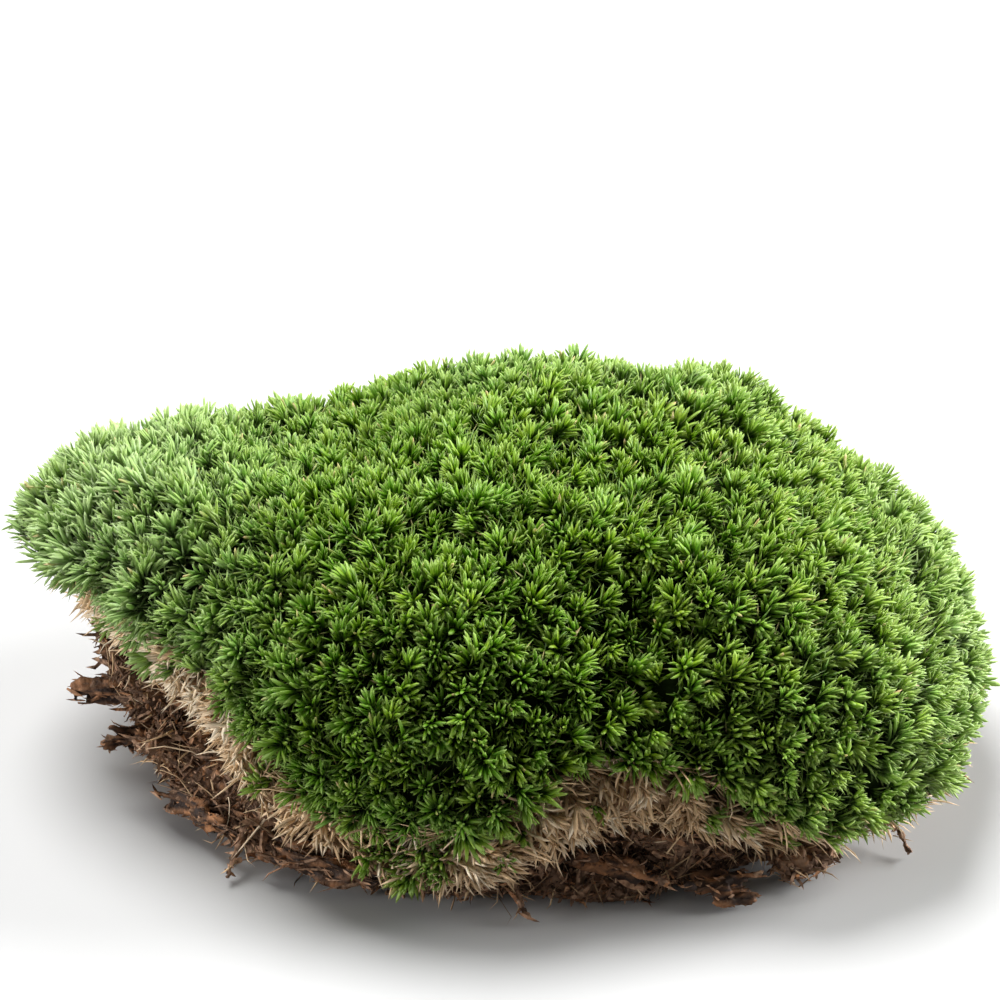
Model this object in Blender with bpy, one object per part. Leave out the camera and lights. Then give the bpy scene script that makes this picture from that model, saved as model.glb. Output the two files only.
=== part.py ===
"""A clump of cushion moss, lifted from the ground together with its soil.

The living green cushion caps a layer of its own dead, straw-coloured leaves, and that layer grips a pad of
dark humus. Bark flakes, clods and rootlets are held in the pad, which is cut off flat and rests on the cut.
Metres, +Z up; the clump's long side lies along X and its origin is the bottom centre of the whole clump.
"""

import math
import random
from collections import namedtuple

import bmesh
import bpy
from mathutils import Vector, noise

MM = 0.001
GAP = 0.35 * MM  # clearance between the layers
POCKET_GAP = 0.5 * MM  # clearance round a piece held in the humus
SEED = 11

# The green cushion
CROWN_HEIGHT = 60 * MM  # leaf tips on the crown, above the surface that the clump stands on
UNDERSIDE_HEIGHT = 22 * MM  # underside at the middle, hidden in the dead layer
CROWN_FLATNESS = 0.92  # 1 is a plain dome, and less is flatter on top
UNDERSIDE_BOXINESS = 3.5  # 2 is a round underside, and more is boxier
HUMMOCK_HEIGHT = 1.4 * MM
HUMMOCK_SIZE = 17 * MM
TUFT_CUTS = 3  # edge cuts on an 80-face sphere, with one tuft on each corner of the result
TUFT_DEPTH = 3.4 * MM  # valleys between the tufts
TUFT_RAGGED = 1.8 * MM  # how unevenly the tufts end
TUFT_SHIFT = 1.5 * MM  # how far a tuft strays from its even place

# The layer of dead leaves
DEAD_CUTS = 2
DEAD_LAYER_RISE = 12 * MM  # how far it swells up into the cushion
DEAD_BOXINESS = 3
DEAD_UNDERSIDE = 8 * MM  # its underside at the middle, hidden in the humus
FRINGE_OUT = 1.6 * MM  # combed-out tips stand this far beyond its even rim
FRINGE_IN = 2.2 * MM  # and gaps go in this far
FRINGE_BAND = 0.55  # share of the height, up and down from the rim, that is combed

# The pad of humus
HUMUS_CUTS = 2
HUMUS_RISE = 7 * MM  # how far it swells up into the dead layer
HUMUS_ROOF = 0.8  # 1 is a plain dome, and less is flatter on top
HUMUS_SUNK = 1.5 * MM  # it is modelled this much too deep, then cut off flat
HUMUS_LUMPS = 2.2 * MM  # depth of the lumps in its side
HUMUS_LUMP_SIZE = 0.13  # size of a lump, as a share of the pad's radius
HUMUS_GRAIN = 0.9 * MM  # depth of the grain on the lumps
WALL_SHARE = 0.6  # part of the pad's lower half that is wall; the rest is its flat bottom

# The room that is cut out under a layer
ROOM_DEPTH = 12 * MM  # it reaches this far below the ground
ROOM_BOXINESS = 8

# Azimuths in degrees, 0 along +X and -90 towards the front. Reach and heights in millimetres.
CushionRim = namedtuple("CushionRim", "azimuth reach widest lower")
CUSHION_RIM = (
    CushionRim(-180, 85, 38, 31),
    CushionRim(-169, 77, 39, 31),
    CushionRim(-149, 66, 37, 28),
    CushionRim(-136, 65, 33, 20),
    CushionRim(-125, 66, 28, 12),
    CushionRim(-106, 65, 24, 6),
    CushionRim(-90, 64, 24, 11),
    CushionRim(-74, 60, 29, 23),
    CushionRim(-60, 68, 26, 16),
    CushionRim(-49, 79, 20, 6),
    CushionRim(-35, 86, 17, 4),
    CushionRim(-15, 85, 18, 8),
    CushionRim(5, 83.5, 20, 12),
    CushionRim(45, 70, 24, 11),
    CushionRim(90, 61, 28, 14),
    CushionRim(135, 69, 34, 24),
    CushionRim(162, 82, 38, 31),
)

DeadRim = namedtuple("DeadRim", "azimuth reach widest lower")
DEAD_RIM = (
    DeadRim(-180, 76, 33, 24),
    DeadRim(-169, 70, 32, 22),
    DeadRim(-149, 63, 29, 17),
    DeadRim(-136, 62, 21, 11),
    DeadRim(-125, 62, 12, 5),
    DeadRim(-106, 61, 7, 2),
    DeadRim(-90, 61, 10, 3),
    DeadRim(-74, 58, 19, 9),
    DeadRim(-60, 63, 16, 8),
    DeadRim(-49, 70, 10, 4),
    DeadRim(-15, 76, 11, 5),
    DeadRim(45, 65, 12, 5),
    DeadRim(90, 54, 15, 6),
    DeadRim(135, 62, 24, 12),
    DeadRim(162, 73, 30, 19),
)

HumusRim = namedtuple("HumusRim", "azimuth reach widest floor")
HUMUS_RIM = (
    HumusRim(-180, 70, 25, 54),
    HumusRim(-169, 71, 21, 58),
    HumusRim(-156, 66, 18, 60),
    HumusRim(-140, 61, 13, 61),
    HumusRim(-126, 60, 8, 58),
    HumusRim(-108, 58, 5, 56),
    HumusRim(-90, 57, 6, 55),
    HumusRim(-75, 57, 9, 57),
    HumusRim(-56, 62, 9, 60),
    HumusRim(-29, 64, 8, 60),
    HumusRim(0, 66, 10, 58),
    HumusRim(45, 58, 10, 50),
    HumusRim(90, 48, 12, 46),
    HumusRim(135, 57, 20, 50),
)

# Swellings and dips of the cushion's top: place of the middle, spread and height, in millimetres.
Lump = namedtuple("Lump", "x y spread height")
CUSHION_LUMPS = (
    Lump(x=-40, y=22, spread=20, height=-9),  # saddle between the left lobe and the crown
    Lump(x=-64, y=2, spread=14, height=2),  # left lobe
    Lump(x=-4, y=20, spread=12, height=4),  # crown
    Lump(x=36, y=22, spread=12, height=6.5),  # second crown on the right
    Lump(x=-10, y=-44, spread=13, height=2.5),  # front lobe
    Lump(x=24, y=-50, spread=9, height=-3),  # hollow over the bare notch in the front
)

# Flakes of bark: place of the middle and size in millimetres, then degrees round Z, Y and X.
Flake = namedtuple("Flake", "name x y z length width thick turn tilt roll")
FLAKES = (
    Flake("bark_splinter_left", -67.5, -14, 15, 13, 5, 3, 172, 4, 30),
    Flake("bark_plate_left", -61, -23.5, 13, 15, 9, 3, 205, -16, 55),
    Flake("bark_flake_lower_left", -51, -37.5, 5.5, 16, 6, 3.5, -40, -8, 25),
    Flake("bark_ridge_front_left", -28, -50, 6, 24, 8, 5, -22, 5, 15),
    Flake("bark_ridge_front", 18, -54.5, 6.3, 18, 8, 5, -18, 10, 20),
    Flake("bark_flake_front_right", 35.5, -55.5, 3.7, 14, 8, 3.4, 8, 4, -8),
    Flake("bark_flake_right", 60, 12, 6, 18, 8, 3.5, 78, 6, 40),
    Flake("bark_ridge_back", 8, 46, 5.5, 24, 8, 4.5, 176, -5, -25),
    Flake("bark_flake_back_left", -50, 27, 10, 17, 8, 3.5, 118, 10, -50),
)
FLAKE_CUTS = 5  # cuts along a flake
FLAKE_TAPER = 0.6  # how much a flake narrows towards its ends
FLAKE_TORN = 0.07  # how unevenly it is torn, as a share of its size
FLAKE_CUP = 0.5  # how far its edges curl down, as a share of its thickness
FLAKE_RIDGE = 0.1  # ridges along its grain, as a share of its thickness

Clod = namedtuple("Clod", "name x y z length width height")
CLODS = (
    Clod("humus_clod_right", 48.5, -48, 3.8, 12, 9, 6),
    Clod("humus_clod_left", -56, -31, 14, 10, 9, 7),
    Clod("humus_clod_back", 34, 42, 6, 13, 10, 8),
)
CLOD_SWELL = 0.5  # depth of a clod's lumps, as a share of its radius
CLOD_LUMP_SIZE = 0.45  # and their size, as a share of its length

# Rootlets: radius and the points along each, in millimetres.
Rootlet = namedtuple("Rootlet", "name radius points")
ROOTLETS = (
    Rootlet("rootlet_lower_left", 0.7, ((-41.5, -40.5, 6), (-43, -46, 5), (-44, -49, 3), (-45, -51, 1.2))),
    Rootlet("rootlet_front", 0.8, ((0, -48, 6), (1, -55, 5), (2.5, -59, 3), (4, -62, 1.3))),
    Rootlet("rootlet_right", 0.7, ((55, -32, 8), (61, -37, 6.5), (65, -40, 4), (67, -44, 1.5))),
    Rootlet("rootlet_back", 0.8, ((-16, 40, 6), (-20, 46, 5), (-25, 50, 2.5), (-32, 52, 1.3))),
)
ROOT_SWELL = 1.2  # thickness of a rootlet where it leaves the pad, beside its middle
ROOT_TIP = 0.6  # and at its tip
CAP_WELD = 0.01 * MM


# ---------------------------------------------------------------- scene and helpers


def clear_scene():
    for obj in list(bpy.data.objects):
        bpy.data.objects.remove(obj, do_unlink=True)


def new_collection(name):
    collection = bpy.data.collections.new(name)
    bpy.context.scene.collection.children.link(collection)
    return collection


def new_material(name, colour, roughness):
    material = bpy.data.materials.new(name)
    material.use_nodes = True
    shader = material.node_tree.nodes["Principled BSDF"]
    shader.inputs["Base Color"].default_value = (*colour, 1)
    shader.inputs["Roughness"].default_value = roughness
    shader.inputs["Metallic"].default_value = 0
    return material


def object_from(bm, name, material, collection, smooth=False):
    """The finished bmesh as an object with its normals facing out."""
    bmesh.ops.recalc_face_normals(bm, faces=bm.faces)
    mesh = bpy.data.meshes.new(name)
    bm.to_mesh(mesh)
    bm.free()
    if smooth:
        mesh.shade_smooth()
        mesh.set_sharp_from_angle(angle=math.radians(50))
    mesh.materials.append(material)
    obj = bpy.data.objects.new(name, mesh)
    collection.objects.link(obj)
    return obj


def around(rim, azimuth):
    """The rim's values at an azimuth in degrees: a smooth closed curve through its rows, in metres."""
    count = len(rim)
    i = max(k for k in range(count) if rim[k].azimuth <= azimuth)

    def row(k):
        turns, place = divmod(k, count)
        return rim[place].azimuth + 360 * turns, rim[place][1:]

    (a0, before), (a1, here), (a2, there), (a3, after) = (row(k) for k in range(i - 1, i + 3))
    span = a2 - a1
    t = (azimuth - a1) / span
    values = []
    for v0, v1, v2, v3 in zip(before, here, there, after):
        slope1 = (v2 - v0) / (a2 - a0) * span
        slope2 = (v3 - v1) / (a3 - a1) * span
        value = (
            (2 * t**3 - 3 * t**2 + 1) * v1
            + (t**3 - 2 * t**2 + t) * slope1
            + (3 * t**2 - 2 * t**3) * v2
            + (t**3 - t**2) * slope2
        )
        values.append(value * MM)
    return values


def blend(a, b, share):
    return a + (b - a) * share


def rounded(height, boxiness):
    """Half width, 1 down to 0, of a round form at a share of its height."""
    return (1 - min(1.0, height) ** boxiness) ** (1 / boxiness)


def azimuth_of(direction):
    angle = math.degrees(math.atan2(direction.y, direction.x))
    return angle if angle < 180 else -180.0


def flatness(direction):
    """How level a unit direction is: 0 straight up or down, 1 along the ground."""
    return min(1.0, math.hypot(direction.x, direction.y))


def polar(direction, radius, z):
    """The point at a radius and a height, on the side that a direction points to."""
    angle = math.atan2(direction.y, direction.x)
    return Vector((radius * math.cos(angle), radius * math.sin(angle), z))


def sphere_steps(cuts):
    """A bmesh of even triangles on the unit sphere."""
    bm = bmesh.new()
    bmesh.ops.create_icosphere(bm, subdivisions=2, radius=1)
    bmesh.ops.subdivide_edges(bm, edges=bm.edges, cuts=cuts, use_grid_fill=True)
    bmesh.ops.triangulate(bm, faces=bm.faces)
    for vert in bm.verts:
        vert.co.normalize()
    return bm


def rough(place, size):
    """Smooth noise from about -1 to 1, whose lumps are about size across."""
    return noise.noise(place / size, noise_basis="PERLIN_ORIGINAL") * 1.6


def push(bm, amounts):
    """Moves corners along their normals, each by its own amount."""
    bm.normal_update()
    for vert, normal in [(v, v.normal.copy()) for v in bm.verts]:
        vert.co += normal * amounts.get(vert, 0)


def grow(bm, amount):
    push(bm, {vert: amount for vert in bm.verts})


# ---------------------------------------------------------------- the three layers


def cushion_lift(place):
    """How far the swellings and dips raise a place on the cushion's top."""
    lift = 0
    for lump in CUSHION_LUMPS:
        apart = math.hypot(place.x / MM - lump.x, place.y / MM - lump.y) / lump.spread
        lift += lump.height * MM * math.exp(-apart * apart / 2)
    return lift


def cushion_point(direction):
    """Where a direction from the middle meets the leaf tips of the green cushion."""
    reach, widest, lower = around(CUSHION_RIM, azimuth_of(direction))
    if direction.z >= 0:
        radius = reach * flatness(direction) ** CROWN_FLATNESS
        z = blend(widest, CROWN_HEIGHT, direction.z)
    else:
        depth = min(1.0, -direction.z)
        radius = reach * rounded(depth, UNDERSIDE_BOXINESS)
        edge = blend(widest, lower, min(1, 1.25 * depth) ** 0.9)
        inward = 1 - radius / reach
        z = blend(edge, UNDERSIDE_HEIGHT, inward * inward * (3 - 2 * inward))
    place = polar(direction, radius, z)
    outward = Vector((direction.x, direction.y, max(direction.z, 0.2))).normalized()
    upper = min(1, max(0, direction.z * 2.5 + 0.6))
    hummock = HUMMOCK_HEIGHT * rough(place, HUMMOCK_SIZE)
    return place + outward * (cushion_lift(place) * upper + hummock)


def build_cushion(material, collection):
    """The living moss: a cap whose surface is a close field of pointed tufts."""
    random.seed(SEED)
    bm = sphere_steps(TUFT_CUTS)
    for vert in bm.verts:
        vert.co = cushion_point(vert.co.copy())
    bm.normal_update()
    moves = {}
    for vert in bm.verts:
        stray = Vector(random.uniform(-1, 1) for _ in range(3)) * TUFT_SHIFT
        inward = random.random() ** 1.5 * TUFT_RAGGED
        moves[vert] = stray - vert.normal * (stray.dot(vert.normal) + inward)
    for vert, move in moves.items():
        vert.co += move
    bmesh.ops.poke(bm, faces=bm.faces, offset=-TUFT_DEPTH)
    return object_from(bm, "moss_cushion", material, collection)


def build_dead_layer(name, material, collection, room=0.0, deep=False):
    """The dead leaves under the living ones: a ragged bowl-shaped layer, combed outwards at its rim."""
    random.seed(SEED + 1)
    bm = sphere_steps(DEAD_CUTS)
    for vert in bm.verts:
        direction = vert.co.copy()
        reach, widest, lower = around(DEAD_RIM, azimuth_of(direction))
        depth = max(0, -direction.z)
        if direction.z >= 0:
            share = flatness(direction) ** 0.7
            z = blend(UNDERSIDE_HEIGHT + DEAD_LAYER_RISE, widest, share**3)
            z += 0.3 * DEAD_LAYER_RISE * direction.z
        elif deep:
            share = rounded(depth, ROOM_BOXINESS)
            z = blend(widest, -ROOM_DEPTH, depth)
        else:
            share = rounded(depth, DEAD_BOXINESS)
            z = blend(widest, lower, min(1, 1.3 * depth))
            z = blend(z, DEAD_UNDERSIDE, (1 - share) ** 2)
        combed = abs(direction.z) < FRINGE_BAND
        fringe = random.uniform(-FRINGE_IN, FRINGE_OUT) if combed else 0
        vert.co = polar(direction, reach * share + fringe, z + 0.5 * fringe)
    grow(bm, room)
    return object_from(bm, name, material, collection)


def build_humus(name, material, collection, room=0.0, deep=False):
    """The pad of dark soil: crumbly, wider above than where it stands, and cut off flat underneath."""
    random.seed(SEED + 2)
    bm = sphere_steps(HUMUS_CUTS)
    bottom = -ROOM_DEPTH if deep else -HUMUS_SUNK
    crumble = {}
    for vert in bm.verts:
        direction = vert.co.copy()
        reach, widest, floor = around(HUMUS_RIM, azimuth_of(direction))
        floor = reach if deep else floor
        flat = flatness(direction)
        depth = max(0, -direction.z)
        if direction.z >= 0:
            radius = reach * flat**HUMUS_ROOF
            z = blend(widest, UNDERSIDE_HEIGHT, (1 - flat) ** HUMUS_ROOF)
            z += HUMUS_RISE * direction.z * flat
        elif depth < WALL_SHARE:
            radius = blend(reach, floor, depth / WALL_SHARE)
            z = blend(widest, bottom, depth / WALL_SHARE)
        else:
            radius = floor * flat / math.sqrt(1 - WALL_SHARE**2)
            z = bottom
        lump = HUMUS_LUMPS * rough(direction, HUMUS_LUMP_SIZE) + random.uniform(-1, 1) * HUMUS_GRAIN
        crumble[vert] = room + (lump if depth < WALL_SHARE else 0)
        vert.co = polar(direction, radius, z)
    push(bm, crumble)
    if not (room or deep):
        cut_flat(bm)
    return object_from(bm, name, material, collection)


def cut_flat(bm):
    """Takes away all that is below the ground plane and closes the cut with one flat face."""
    everything = bm.verts[:] + bm.edges[:] + bm.faces[:]
    bmesh.ops.bisect_plane(bm, geom=everything, plane_co=(0, 0, 0), plane_no=(0, 0, 1), clear_inner=True)
    rim = [edge for edge in bm.edges if edge.is_boundary]
    bmesh.ops.contextual_create(bm, geom=rim)
    bmesh.ops.triangulate(bm, faces=[face for face in bm.faces if len(face.verts) > 3])


# ---------------------------------------------------------------- pieces held in the humus


def build_flake(flake, name, material, collection, room=0.0):
    """A flake of bark: a cupped slab with torn, tapered ends and ridges along the grain."""
    random.seed(flake.name)
    bm = bmesh.new()
    bmesh.ops.create_cube(bm, size=1)
    along = [edge for edge in bm.edges if abs((edge.verts[0].co - edge.verts[1].co).x) > 0.5]
    bmesh.ops.subdivide_edges(bm, edges=along, cuts=FLAKE_CUTS, use_grid_fill=True)
    across = [edge for edge in bm.edges if abs((edge.verts[0].co - edge.verts[1].co).y) > 0.5]
    bmesh.ops.subdivide_edges(bm, edges=across, cuts=1, use_grid_fill=True)
    size = Vector((flake.length, flake.width, flake.thick)) * MM
    for vert in bm.verts:
        x, y, z = vert.co
        taper = 1 - FLAKE_TAPER * (2 * abs(x)) ** 3
        torn = random.uniform(-FLAKE_TORN, FLAKE_TORN)
        ridge = random.uniform(-FLAKE_RIDGE, FLAKE_RIDGE)
        cup = FLAKE_CUP * (2 * y) ** 2
        thick = z * blend(1, taper, 0.45)
        vert.co = Vector((
            size.x * (x + torn),
            size.y * y * taper * (1 + torn),
            size.z * (thick + ridge - cup + FLAKE_CUP / 2),
        ))
    bmesh.ops.triangulate(bm, faces=bm.faces)
    grow(bm, room)
    obj = object_from(bm, name, material, collection)
    obj.location = Vector((flake.x, flake.y, flake.z)) * MM
    obj.rotation_euler = [math.radians(angle) for angle in (flake.roll, flake.tilt, flake.turn)]
    return obj


def build_clod(clod, name, material, collection, room=0.0):
    """A clod of soil: a lumpy ball."""
    bm = bmesh.new()
    bmesh.ops.create_icosphere(bm, subdivisions=2, radius=0.5)
    size = Vector((clod.length, clod.width, clod.height)) * MM
    middle = Vector((clod.x, clod.y, clod.z))
    for vert in bm.verts:
        swell = 1 + CLOD_SWELL * rough(vert.co + middle, CLOD_LUMP_SIZE)
        vert.co = size * vert.co * swell
    grow(bm, room)
    obj = object_from(bm, name, material, collection, smooth=True)
    obj.location = middle * MM
    return obj


def build_rootlet(rootlet, name, material, collection, room=0.0):
    """A root thread: a round wire with filled ends, made a closed mesh."""
    curve = bpy.data.curves.new(name, "CURVE")
    curve.dimensions = "3D"
    curve.resolution_u = 2
    curve.bevel_depth = rootlet.radius * MM + room
    curve.bevel_resolution = 1
    curve.use_fill_caps = True
    spline = curve.splines.new("BEZIER")
    spline.bezier_points.add(len(rootlet.points) - 1)
    for bezier, point in zip(spline.bezier_points, rootlet.points):
        bezier.co = Vector(point) * MM
        bezier.handle_left_type = bezier.handle_right_type = "AUTO"
    spline.bezier_points[0].radius = ROOT_SWELL
    spline.bezier_points[-1].radius = ROOT_TIP
    wire = bpy.data.objects.new(name + "_wire", curve)
    collection.objects.link(wire)
    graph = bpy.context.evaluated_depsgraph_get()
    bm = bmesh.new()
    bm.from_mesh(bpy.data.meshes.new_from_object(wire.evaluated_get(graph)))
    bpy.data.objects.remove(wire)
    bmesh.ops.remove_doubles(bm, verts=bm.verts, dist=CAP_WELD)
    bmesh.ops.triangulate(bm, faces=bm.faces)
    return object_from(bm, name, material, collection, smooth=True)


# ---------------------------------------------------------------- assembly


def make_room(body, cutters):
    """Cuts from body the room that its neighbours need, and drops the crumbs that come loose from it."""
    for cutter in cutters:
        cut = body.modifiers.new(cutter.name, "BOOLEAN")
        cut.operation = "DIFFERENCE"
        cut.solver = "MANIFOLD"
        cut.object = cutter
    graph = bpy.context.evaluated_depsgraph_get()
    bm = bmesh.new()
    bm.from_mesh(bpy.data.meshes.new_from_object(body.evaluated_get(graph)))
    body.modifiers.clear()
    crumbs = islands(bm)[1:]
    bmesh.ops.delete(bm, geom=[vert for crumb in crumbs for vert in crumb], context="VERTS")
    bmesh.ops.triangulate(bm, faces=bm.faces)
    bm.to_mesh(body.data)
    bm.free()


def islands(bm):
    """The separate bodies in a bmesh, each as a set of corners, the largest first."""
    left = set(bm.verts)
    found = []
    while left:
        body = set()
        ahead = [left.pop()]
        while ahead:
            vert = ahead.pop()
            body.add(vert)
            fresh = {edge.other_vert(vert) for edge in vert.link_edges} & left
            left -= fresh
            ahead.extend(fresh)
        found.append(body)
    return sorted(found, key=len, reverse=True)


def hide_cutters(collection):
    for cutter in collection.objects:
        cutter.hide_render = True
        cutter.display_type = "WIRE"


def stand_at_origin(pieces, cutters):
    """Hangs everything on an empty, set so that the origin is the bottom centre of the whole clump."""
    bpy.context.view_layer.update()
    corners = [piece.matrix_world @ vert.co for piece in pieces for vert in piece.data.vertices]
    middle_x = (min(c.x for c in corners) + max(c.x for c in corners)) / 2
    middle_y = (min(c.y for c in corners) + max(c.y for c in corners)) / 2
    base = bpy.data.objects.new("clump_base", None)
    bpy.context.scene.collection.objects.link(base)
    base.location = (-middle_x, -middle_y, 0)
    for obj in [*pieces, *cutters]:
        obj.parent = base


def main():
    clear_scene()
    clump = new_collection("moss_clump")
    rooms = new_collection("cutters")
    leaf_green = new_material("living_leaves", (0.13, 0.28, 0.035), 0.6)
    straw = new_material("dead_leaves", (0.30, 0.20, 0.11), 0.85)
    soil = new_material("humus", (0.055, 0.03, 0.018), 0.95)
    bark = new_material("bark", (0.16, 0.07, 0.035), 0.8)
    root = new_material("root", (0.12, 0.06, 0.035), 0.8)

    cushion = build_cushion(leaf_green, clump)
    dead = build_dead_layer("dead_moss_layer", straw, clump)
    humus = build_humus("humus_pad", soil, clump)
    under_dead = build_dead_layer("dead_layer_below", straw, rooms, deep=True)
    dead_room = build_dead_layer("dead_layer_room", straw, rooms, GAP)
    under_humus = build_humus("humus_below", soil, rooms, deep=True)
    humus_room = build_humus("humus_room", soil, rooms, GAP)
    make_room(cushion, [under_dead, dead_room, humus_room])
    make_room(dead, [under_humus, humus_room])

    held = [(build_flake, flake, bark) for flake in FLAKES]
    held += [(build_clod, clod, soil) for clod in CLODS]
    held += [(build_rootlet, rootlet, root) for rootlet in ROOTLETS]
    pockets = []
    for build, facts, material in held:
        build(facts, facts.name, material, clump)
        pockets.append(build(facts, facts.name + "_room", material, rooms, POCKET_GAP))
    make_room(humus, pockets)
    make_room(dead, pockets)

    stand_at_origin(list(clump.objects), list(rooms.objects))
    hide_cutters(rooms)


main()
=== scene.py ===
"""Dresses the solids of a moss clump: leafy shoots, dead leaves, crumbling humus, bark and root threads.

Metres, +Z up, in the frame of the solids. Run as a script, it makes every piece, then the floor, the lights
and the camera.
"""

import math
from collections import namedtuple

import bmesh
import bpy
import numpy as np
from bpy.props import FloatProperty, FloatVectorProperty, IntProperty, PointerProperty
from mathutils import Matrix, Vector, noise
from mathutils.bvhtree import BVHTree


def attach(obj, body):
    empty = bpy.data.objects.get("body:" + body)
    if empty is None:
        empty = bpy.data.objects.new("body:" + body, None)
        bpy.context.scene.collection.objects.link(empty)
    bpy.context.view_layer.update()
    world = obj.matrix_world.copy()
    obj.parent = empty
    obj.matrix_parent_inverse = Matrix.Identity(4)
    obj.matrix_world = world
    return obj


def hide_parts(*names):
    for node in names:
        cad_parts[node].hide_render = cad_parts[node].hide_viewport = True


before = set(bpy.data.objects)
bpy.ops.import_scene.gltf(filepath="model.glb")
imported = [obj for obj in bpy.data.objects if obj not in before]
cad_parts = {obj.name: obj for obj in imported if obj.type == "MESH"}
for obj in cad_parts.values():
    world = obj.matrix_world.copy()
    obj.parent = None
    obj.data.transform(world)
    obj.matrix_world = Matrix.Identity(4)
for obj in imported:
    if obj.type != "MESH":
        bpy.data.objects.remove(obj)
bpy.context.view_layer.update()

bl_info = {
    "name": "Moss Clump",
    "version": (1, 0, 0),
    "blender": (4, 5, 0),
    "location": "View3D > Sidebar > Moss",
    "description": "Grows leaves, dead leaves, humus and bark on the solids of a moss clump",
    "category": "Add Mesh",
}

MM = 0.001
BODY = "root"
CUSHION = "moss_cushion"
DEAD = "dead_moss_layer"
PAD = "humus_pad"
BARK = [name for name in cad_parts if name.startswith("bark_")]
CLODS = [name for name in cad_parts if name.startswith("humus_clod")]
ROOTS = [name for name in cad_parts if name.startswith("rootlet_")]

WELD = 0.01 * MM  # corners nearer than this are one
FLOOR_GAP = 0.15 * MM  # nothing that is grown reaches lower than this
DARTS = 7  # tries for each place that a spacing leaves room for
CELL_EDGE = 0.12  # of each copy's cell in the bake layer, left free at its edges
GOLDEN_ANGLE = math.radians(137.508)


# ---------------------------------------------------------------- values a user would change


def length(name, description, default):
    return FloatProperty(name=name, description=description, default=default, unit="LENGTH")


def tone(name, description, default):
    return FloatVectorProperty(name=name, description=description, default=default, subtype="COLOR")


class MossSizes(bpy.types.PropertyGroup):
    """Sizes of the clump's small pieces."""

    shoot_spacing: length("Shoot spacing", "Least distance between two rosettes", 2.85 * MM)
    leaves: IntProperty(name="Leaves", description="Leaves on one shoot", default=32, min=26, max=60)
    leaf_length: length("Leaf length", "Length of a full-grown leaf", 4.05 * MM)
    leaf_width: length("Leaf width", "Width of a leaf at its widest", 0.72 * MM)
    stem_depth: length("Leafy stem", "How far down its stem a shoot bears leaves", 4.4 * MM)
    straw_length: length("Dead leaf length", "Length of a dead leaf", 6.3 * MM)
    straw_width: length("Dead leaf width", "Width of a dead leaf", 0.54 * MM)
    straw_spacing: length("Dead leaf spacing", "Distance between dead leaves", 1.08 * MM)
    crumb_size: length("Crumb size", "Width of a middling crumb of humus", 1.0 * MM)
    crumb_spacing: length("Crumb spacing", "Distance between crumbs", 0.92 * MM)
    shred_length: length("Shred length", "Length of a torn shred of wood in the humus", 2.9 * MM)
    thread_length: length("Thread length", "Length of a root thread", 6.5 * MM)


class MossColours(bpy.types.PropertyGroup):
    """Colours of the clump, as plain linear values."""

    # near black: partly a leaf base's own darker colour, partly painted shade deep among the leaves
    leaf_deep: tone("Leaf base", "Colour of a leaf near its stem", (0.020, 0.048, 0.003))
    leaf: tone("Leaf", "Colour of a leaf's blade", (0.165, 0.385, 0.015))
    leaf_tip: tone("Leaf tip", "Colour of a leaf's tip", (0.37, 0.52, 0.125))
    # brighter than the leaf: the yellow leaves' own colour, and on the right partly painted light
    leaf_yellow: tone("Yellowed leaf", "Colour of the yellower leaves", (0.36, 0.51, 0.022))
    # whitish: the dry leaves' own colour, and on the right and in front partly painted light
    leaf_pale: tone("Pale leaf", "Colour of whitish, dry leaves", (0.53, 0.67, 0.335))
    # near black: painted shade deep in the cushion
    core: tone("Core", "Colour deep in the cushion", (0.010, 0.017, 0.004))
    straw: tone("Dead leaf", "Colour of dead leaves", (0.73, 0.51, 0.295))
    straw_pale: tone("Bleached leaf", "Colour of bleached leaves", (0.86, 0.74, 0.56))
    straw_dark: tone("Rotten leaf", "Colour of rotting leaves", (0.19, 0.11, 0.06))
    humus: tone("Humus", "Colour of damp humus", (0.058, 0.030, 0.018))
    humus_dry: tone("Dry humus", "Colour of dry crumbs", (0.42, 0.255, 0.16))
    # near black: partly the bark's own colour, partly painted shade in its grooves
    bark: tone("Bark", "Colour of the bark's grooves", (0.026, 0.013, 0.008))
    bark_warm: tone("Bark ridges", "Colour of the bark's ridges", (0.40, 0.18, 0.075))
    floor: tone("Floor", "Colour of the studio floor", (0.42, 0.42, 0.42))


# ---------------------------------------------------------------- surfaces to grow on


def merged_copy(*names):
    """One bmesh of some solids, with their loose triangles joined."""
    bm = bmesh.new()
    for name in names:
        bm.from_mesh(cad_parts[name].data)
    bmesh.ops.remove_doubles(bm, verts=bm.verts, dist=WELD)
    return bm


def tree_of(*names):
    bm = merged_copy(*names)
    tree = BVHTree.FromBMesh(bm)
    bm.free()
    return tree


def smooth(bm):
    bmesh.ops.smooth_vert(bm, verts=bm.verts, factor=0.5, use_axis_x=True, use_axis_y=True, use_axis_z=True)


def evened(bm, voxel, rounds):
    """The same form as an even grid of small faces, smoothed some rounds."""
    mesh = bpy.data.meshes.new("evened")
    bm.to_mesh(mesh)
    bm.free()
    obj = bpy.data.objects.new("evened", mesh)
    bpy.context.scene.collection.objects.link(obj)
    remesh = obj.modifiers.new("even", "REMESH")
    remesh.mode = "VOXEL"
    remesh.voxel_size = voxel
    graph = bpy.context.evaluated_depsgraph_get()
    fine = bmesh.new()
    fine.from_mesh(bpy.data.meshes.new_from_object(obj.evaluated_get(graph)))
    bpy.data.objects.remove(obj)
    for _ in range(rounds):
        smooth(fine)
    fine.normal_update()
    return fine


def moved_out(bm, amount):
    """Moves every corner along its normal by amount(place, normal)."""
    bm.normal_update()
    moves = [vert.normal * amount(vert.co, vert.normal) for vert in bm.verts]
    for vert, move in zip(bm.verts, moves):
        vert.co += move


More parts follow.
